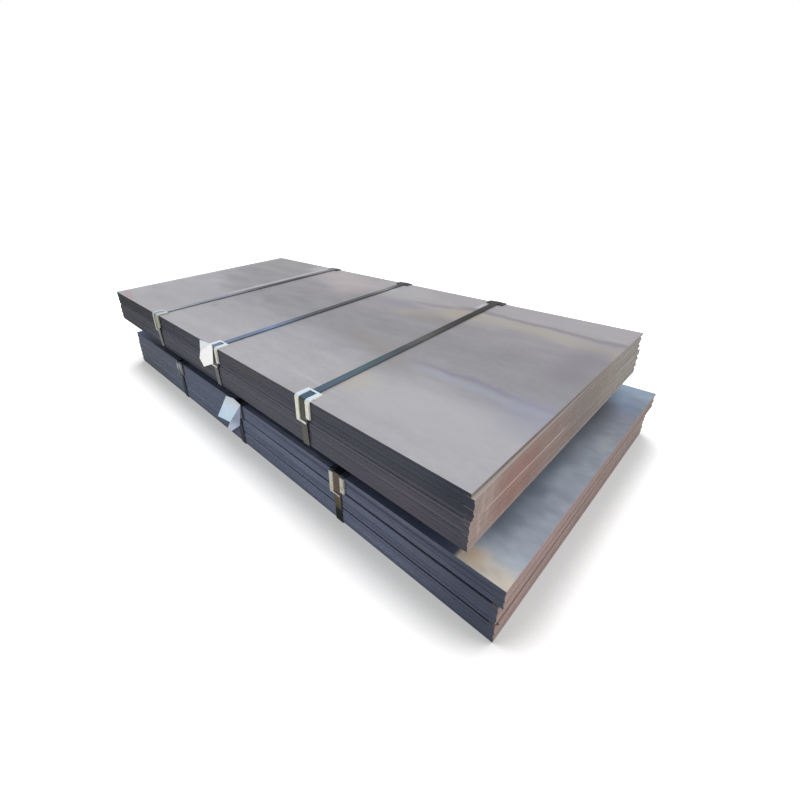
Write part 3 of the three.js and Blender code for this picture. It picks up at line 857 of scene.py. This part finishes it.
# %% [markdown]
# ## Steel strapping
#
# Strapping is cold-rolled strip, blued in the furnace and waxed so that it slides through the
# tensioner. Blued steel is a metal with a dark, slightly blue skin. Its colours are painted
# reflections: on level runs the sky that it mirrors, brighter toward the near edge, and on upright
# runs the khaki of the ground, in bands that depend on the height. Colours painted on each loop
# could carry this, but bands measured in the pack need no unwrapping.

# %% Blued strapping
STRIP_EDGE = "#20242B"
# How far a normal points across on upright runs, and along on the strip's edges.
CROSSWAYS, LENGTHWAYS = (0.5, 0.8), (0.6, 0.9)
LEVEL_MOTTLING = [((14, 70, 70), 4, 0.12)]
UPRIGHT_MOTTLING = [((20, 20, 40), 4, 0.12)]


def strapping(name, pack, specular, level_bands, upright_bands):
    """Strapping, from colours across the pack on level runs and up the pack on upright ones."""
    material, tree, shader = new_material(name, roughness=0.45, metallic=0.25, specular=specular)
    place, _, across, up = in_pack(tree, pack)
    lengthways, crossways, _ = axes_of(tree, face_normal(tree), signed=False)
    # Level runs are painted with the sky that they mirror, upright runs with the ground.
    level = mottled(tree, bands(tree, across, level_bands), place, LEVEL_MOTTLING)
    upright = mottled(tree, bands(tree, up, upright_bands), place, UPRIGHT_MOTTLING)
    colour = mix(tree, rise(tree, crossways, *CROSSWAYS), level, upright)
    colour = paint(tree, colour, rise(tree, lengthways, *LENGTHWAYS), STRIP_EDGE, 0.8)
    rubbed = cloud(tree, place, (3, 60, 60), 3)
    coat(tree, shader, colour, rubbed, depth=0.08, strength=0.4)
    return material


# Colours from the near side to the far one on level runs, and from the bottom up on upright runs,
# painted as the sky and the ground that the strip mirrors.
UPPER_LEVEL_1 = [
    (-640, "#A0A6B1"), (-540, "#A2A8B3"), (-450, "#8A909E"), (-350, "#6F7E94"), (-150, "#747582"),
    (0, "#3E404A"), (300, "#212027"), (450, "#68696C"), (640, "#808082"),
]
UPPER_LEVEL_2 = [
    (-640, "#5D7794"), (-450, "#5B728E"), (-350, "#6A82AF"), (-250, "#5A6A87"), (-150, "#384251"),
    (0, "#2D2E34"), (300, "#31323A"), (450, "#777A7B"), (560, "#151517"), (640, "#151517"),
]
UPPER_LEVEL_3 = [
    (-640, "#455A72"), (-450, "#516473"), (-350, "#4B616B"), (-150, "#3E464F"),
    (0, "#555553"), (150, "#2F302E"), (300, "#0D0C0D"), (450, "#161415"), (640, "#2A2627"),
]
LOWER_LEVEL = [(-640, "#20242C"), (640, "#1E222B")]
UPPER_RUN_1 = [(290, "#3F3E42"), (350, "#3E3F40"), (390, "#70726A"), (460, "#7C8070")]
UPPER_RUN_2 = [(290, "#48484A"), (330, "#4D4C49"), (380, "#4E4D48"), (460, "#4E4C47")]
UPPER_RUN_3 = [(290, "#59564F"), (345, "#535149"), (385, "#4A4B42"), (460, "#424038")]
LOWER_RUN_1 = [
    (5, "#161E2A"), (125, "#161E2A"), (142, "#5A5E58"), (165, "#8E9090"), (190, "#9FA1A6"),
    (205, "#5A5E68"),
]
LOWER_RUN_2 = [(5, "#2A303B"), (205, "#313846")]
LOWER_RUN_3 = [
    (5, "#101115"), (52, "#0F1013"), (70, "#5A5240"), (110, "#625944"), (122, "#67534C"),
    (170, "#67534C"), (205, "#61594F"),
]
# Each strap's state, how much it mirrors, and its colours on level and on upright runs, which paint
# its reflections.
STRAPS = {
    "upper_strap_1": ("dulled", 0.35, UPPER_LEVEL_1, UPPER_RUN_1),
    "upper_strap_2": ("rubbed", 0.3, UPPER_LEVEL_2, UPPER_RUN_2),
    "upper_strap_3": ("dark", 0.12, UPPER_LEVEL_3, UPPER_RUN_3),
    "lower_strap_1": ("black", 0.1, LOWER_LEVEL, LOWER_RUN_1),
    "lower_strap_2": ("sooty", 0.1, LOWER_LEVEL, LOWER_RUN_2),
    "lower_strap_3": ("browned", 0.1, LOWER_LEVEL, LOWER_RUN_3),
}
straps = {
    name: strapping(f"blued_strapping_{state}", name.split("_")[0], *look)
    for name, (state, *look) in STRAPS.items()
}
print("strapping:", sorted(straps))

# %% [markdown]
# ## Moulded edge guards
#
# The guards are polyethylene, moulded in one piece. A moulding has no sharp edges: the tool's
# corners are rounded so that the part comes out, and the rounding catches a line of light. The
# solids have sharp edges, which is right for measuring. For the eye, each guard is replaced by a
# copy whose edges are rounded with the bevel operator. A bevel modifier or a bevel in the shader
# would also do it, but real rounding shows the same from every side and survives an export. The
# copy's triangles are merged and joined first, or the bevel would run along every triangle.

# %% Round the edges of the mouldings
MOULD_RADIUS = 0.7  # millimetres
SAME_POINT = 0.01  # millimetres
SAME_FACE = math.radians(0.5)
SHARP = math.radians(30)
ROUNDING_STEPS = 2


def rounded(name, radius):
    """A copy of a solid with its sharp edges rounded, to be shown in the solid's place."""
    bm = bmesh.new()
    bm.from_mesh(nodes[name].data)
    bmesh.ops.remove_doubles(bm, verts=bm.verts, dist=SAME_POINT * MM)
    bmesh.ops.dissolve_limit(bm, angle_limit=SAME_FACE, verts=bm.verts, edges=bm.edges)
    sharp = [edge for edge in bm.edges if edge.is_manifold and edge.calc_face_angle() > SHARP]
    bmesh.ops.bevel(
        bm, geom=sharp, offset=radius * MM, offset_type="OFFSET", affect="EDGES",
        segments=ROUNDING_STEPS, profile=0.5, material=-1, clamp_overlap=True,
    )
    copy = built(f"{name}_rounded", bm)
    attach(copy, "root")
    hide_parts(name)
    return copy


mouldings = {
    name: rounded(name, MOULD_RADIUS) for name in sorted(nodes) if "front_guard" in name
}
faces = sum(len(moulding.data.polygons) for moulding in mouldings.values())
print("rounded", len(mouldings), "mouldings,", faces, "faces")

# %% [markdown]
# ## Polyethylene, clean and dirty
#
# Polyethylene is waxy, with a dull gloss and a little light inside it. Faces that look at the sky
# are painted a cooler white, the skylight on them. The lower guards' tops lie in the gap under the
# upper pack, and its deep shade is painted on them, nearly black. The far one is pale only at one
# corner. One recipe serves all six, because only their age, their dirt and their painted light
# differ.

# %% Polyethylene
LIGHT_INSIDE = 0.06
LIGHT_REACH = (0.004, 0.003, 0.002)  # metres, for red, green and blue
SKYWARD = (0.3, 0.8)  # how far a normal points up, where the painted skylight begins and where it is full
SPOTS = (16, 16, 26)  # millimetres
GAP_SHADE_MARGIN = 1  # millimetres either side of a lower pack's top, where the painted shade of the gap begins


def polyethylene(name, pack, body, sky_side, grime, grime_strength, marks):
    """Polyethylene, from a body colour, a colour of painted light or shade for faces to the sky,
    and one for grimy spots.
    """
    material, tree, shader = new_material(name, roughness=0.5, metallic=0.0, specular=0.4)
    place, along, _, up = in_pack(tree, pack)
    to_the_sky = rise(tree, axes_of(tree, face_normal(tree))["Z"], *SKYWARD)
    colour = marked(tree, linear(body), on_face(tree, along, up), marks)
    spots = rise(tree, cloud(tree, place, SPOTS, 5), 0.5, 0.72)
    colour = paint(tree, colour, spots, grime, grime_strength)
    # Faces to the sky get painted light: skylight on the upper guards, the gap's shade on the
    # lower.
    colour = paint(tree, colour, to_the_sky, sky_side)
    # The lower guards' parts above the lower pack's top lie in the gap, and its shade is painted
    # on.
    if pack == "lower":
        top = packs[pack]["top"]
        above = rise(tree, up, top - GAP_SHADE_MARGIN * MM, top + GAP_SHADE_MARGIN * MM)
        colour = paint(tree, colour, above, sky_side)
    shader.inputs["Subsurface Weight"].default_value = LIGHT_INSIDE
    shader.inputs["Subsurface Radius"].default_value = LIGHT_REACH
    grain = cloud(tree, place, (2.5, 2.5, 2.5), 2)
    coat(tree, shader, colour, grain, depth=0.06, strength=0.4)
    return material


PALE_CORNER = [
    ((-612, 182), (40, 15), (8, 8), 0, "#B4B8BD", 1.0),
    ((-572, 165), (9, 40), (5, 20), 0, "#6E7263", 0.8),
]
FOULED_LEG = [
    ((-577, 430), (17, 40), (6, 14), 0, "#8F947F", 0.8),
    ((-582, 394), (16, 12), (5, 6), 0, "#4A4B4A", 0.85),
]
# The gap's deep shade, painted on the lower guards.
GAP_SHADE = "#2A303B"
# Each guard's state, body colour, colour to the sky (painted light or shade), grime, how strong
# that is, and marks.
GUARDS = {
    "upper_front_guard_1": ("yellowed", "#A9AC98", "#C0CCD8", "#83826A", 0.5, FOULED_LEG),
    "upper_front_guard_2": ("clean", "#E4E3DA", "#D9E4F0", "#B5B2A0", 0.4, ()),
    "upper_front_guard_3": ("cream", "#EFEDE0", "#D6E6F2", "#A9A487", 0.4, ()),
    "lower_front_guard_1": ("caked", "#5D6166", GAP_SHADE, "#565A5E", 0.5, PALE_CORNER),
    "lower_front_guard_2": ("buried", "#4C515E", GAP_SHADE, "#434854", 0.6, ()),
    "lower_front_guard_3": ("grimed", "#D2D0C0", GAP_SHADE, "#8E8874", 0.55, ()),
}
guards = {
    name: polyethylene(f"polyethylene_{state}", name.split("_")[0], *look)
    for name, (state, *look) in GUARDS.items()
}
print("mouldings finished:", sorted(guards))

# %% [markdown]
# ## Folded strips
#
# The guards on the far edge are folded strip steel under dark oxide. Oxide is rough and pitted and
# mirrors little. Noise in the colour and a finer noise in the height are enough, because these
# strips are small and lie in shade.

# %% Dark oxide
OXIDE = "#35343A"
PATCHES, PITS = (22, 22, 22), (3, 3, 3)  # millimetres

back_strip, tree, shader = new_material(
    "dark_oxide_strip_steel", roughness=0.6, metallic=0.3, specular=0.3)
place = in_pack(tree, "upper")[0]
colour = tone(tree, linear(OXIDE), cloud(tree, place, PATCHES, 4), 0.25)
coat(tree, shader, colour, cloud(tree, place, PITS, 3), depth=0.1, strength=0.5)
print("made", back_strip.name)

# %% [markdown]
# ## Bearers
#
# The bearers are rough-sawn softwood gone grey. The grain runs along the timber, so the noise is
# stretched that way, and on the ends the same rings are cut square across and show as arcs. Rings
# about one line for all three, the heart of the log that they were sawn from, are simpler than a
# texture for each face, and they meet at every edge.

# %% Sawn softwood
RING_PITCH = 11  # millimetres
RINGS_IN_A_UNIT = 20 / (2 * math.pi)  # what a wave texture draws at a Scale of 1
HEART_HEIGHT = 0.17  # metres
ALONG_THE_GRAIN = 0.02  # how much of a length along the grain counts
EARLY_WOOD, LATE_WOOD, GREYED = "#8A7458", "#6A553D", "#77736B"
FIBRES, GREY_PATCHES, SAW_MARKS = (4, 160, 4), (60, 200, 60), (1.6, 60, 1.6)  # millimetres

timber, tree, shader = new_material(
    "rough_sawn_softwood", roughness=0.85, metallic=0.0, specular=0.2)
here = add(tree, "ShaderNodeTexCoord").outputs["Object"]
drawn_out = add(tree, "ShaderNodeMapping", {
    "Vector": wander(tree, here, size=220, reach=(9, 9, 9)),
    "Location": (0, 0, -HEART_HEIGHT),
    "Scale": (1, ALONG_THE_GRAIN, 1),
})
rings = add(tree, "ShaderNodeTexWave", {
    "Vector": drawn_out.outputs[0],
    "Scale": per_metre(RING_PITCH) / RINGS_IN_A_UNIT,
    "Distortion": 1.5,
    "Detail": 2.0,
}, wave_type="RINGS", rings_direction="Y")
colour = paint(tree, linear(EARLY_WOOD), rings.outputs["Fac"], LATE_WOOD)
colour = tone(tree, colour, cloud(tree, here, FIBRES, 4), 0.16)
greyed = rise(tree, cloud(tree, here, GREY_PATCHES, 4), 0.4, 0.7)
colour = paint(tree, colour, greyed, GREYED, 0.6)
coat(tree, shader, colour, cloud(tree, here, SAW_MARKS, 3), depth=0.5, strength=0.7)
print("made", timber.name, "with a ring every", RING_PITCH, "mm")

# %% [markdown]
# ## Tags
#
# The tags are coated card, white, matt and faintly creased, and bare. A tag is folded, and each
# side of the fold faces another part of the sky, so one side is painted a little bluer and darker,
# its shade. The lower tag lies in the upper pack's shade, which is painted on it as a pale blue.
# The fold is a straight line on the card, so a line along and up the pack parts the two sides with
# no need for two materials. The card also glows faintly in its own colour, painted light that makes
# it read whiter.

# %% Card
PAINTED_GLOW = 0.14
FOLD_SOFTNESS = 0.4  # millimetres
# The two ends of each fold, in millimetres along and up.
UPPER_FOLD, LOWER_FOLD = ((-73, 412), (46, 479)), ((77, 220), (-36, 86))


def card(name, pack, plain, folded, fold, above):
    """Coated card, from colours up the pack, a fold's two ends, and whether it folds above."""
    material, tree, shader = new_material(name, roughness=0.75, metallic=0.0, specular=0.3)
    place, along, _, up = in_pack(tree, pack)
    (start, start_up), (stop, stop_up) = fold
    slope = (stop_up - start_up) / (stop - start)
    base = (start_up - slope * start) * MM
    line = maths(tree, "MULTIPLY_ADD", along, slope, base)
    margin = FOLD_SOFTNESS * MM * (1 if above else -1)
    beyond = rise(tree, maths(tree, "SUBTRACT", up, line), -margin, margin)
    colour = mix(tree, beyond, bands(tree, up, plain), bands(tree, up, folded))
    colour = tone(tree, colour, cloud(tree, place, (30, 30, 30), 3), 0.03)
    # Painted light: the card glows faintly in its own colour.
    tree.links.new(colour, shader.inputs["Emission Color"])
    shader.inputs["Emission Strength"].default_value = PAINTED_GLOW
    coat(tree, shader, colour, cloud(tree, place, (25, 25, 25), 2), depth=1.2, strength=0.35)
    return material


WHITE = [(330, "#FDFDFD"), (480, "#FDFDFD")]
# The folded sides are painted shade, and the lower tag's colours are white card in painted shade.
WHITE_FOLDED = [(330, "#DFE3E8"), (480, "#E4E8EC")]
SHADED_WHITE = [(20, "#D3EAFA"), (150, "#CFE6FA"), (180, "#D5E0E9"), (220, "#CBD4DD")]
SHADED_WHITE_FOLDED = [(20, "#CDD4E6"), (70, "#BFC6DC"), (120, "#8F98B0"), (220, "#98A1B6")]
upper_card = card("white_coated_card", "upper", WHITE, WHITE_FOLDED, UPPER_FOLD, True)
lower_card = card(
    "shaded_white_coated_card", "lower", SHADED_WHITE, SHADED_WHITE_FOLDED, LOWER_FOLD, False)
print("tags:", upper_card.name, lower_card.name)

# %% [markdown]
# ## Every solid gets its finish
#
# Each solid's name says what it is, so a table from a part of the name to a material dresses them
# all. Straps and near guards have a finish each, because each has weathered in its own place.

# %% Give every solid its finish
finishes = {
    "upper_plate": upper_steel, "lower_plate": lower_steel, "back_guard": back_strip,
    "bearer": timber, "upper_tag": upper_card, "lower_tag": lower_card, **straps, **guards,
}
dressed = set()
for name, solid in nodes.items():
    for key, material in finishes.items():
        if key in name:
            for body in (solid, mouldings.get(name, solid)):
                body.data.materials.clear()
                body.data.materials.append(material)
            dressed.add(name)
print("dressed", len(dressed), "of", len(nodes), "solids")
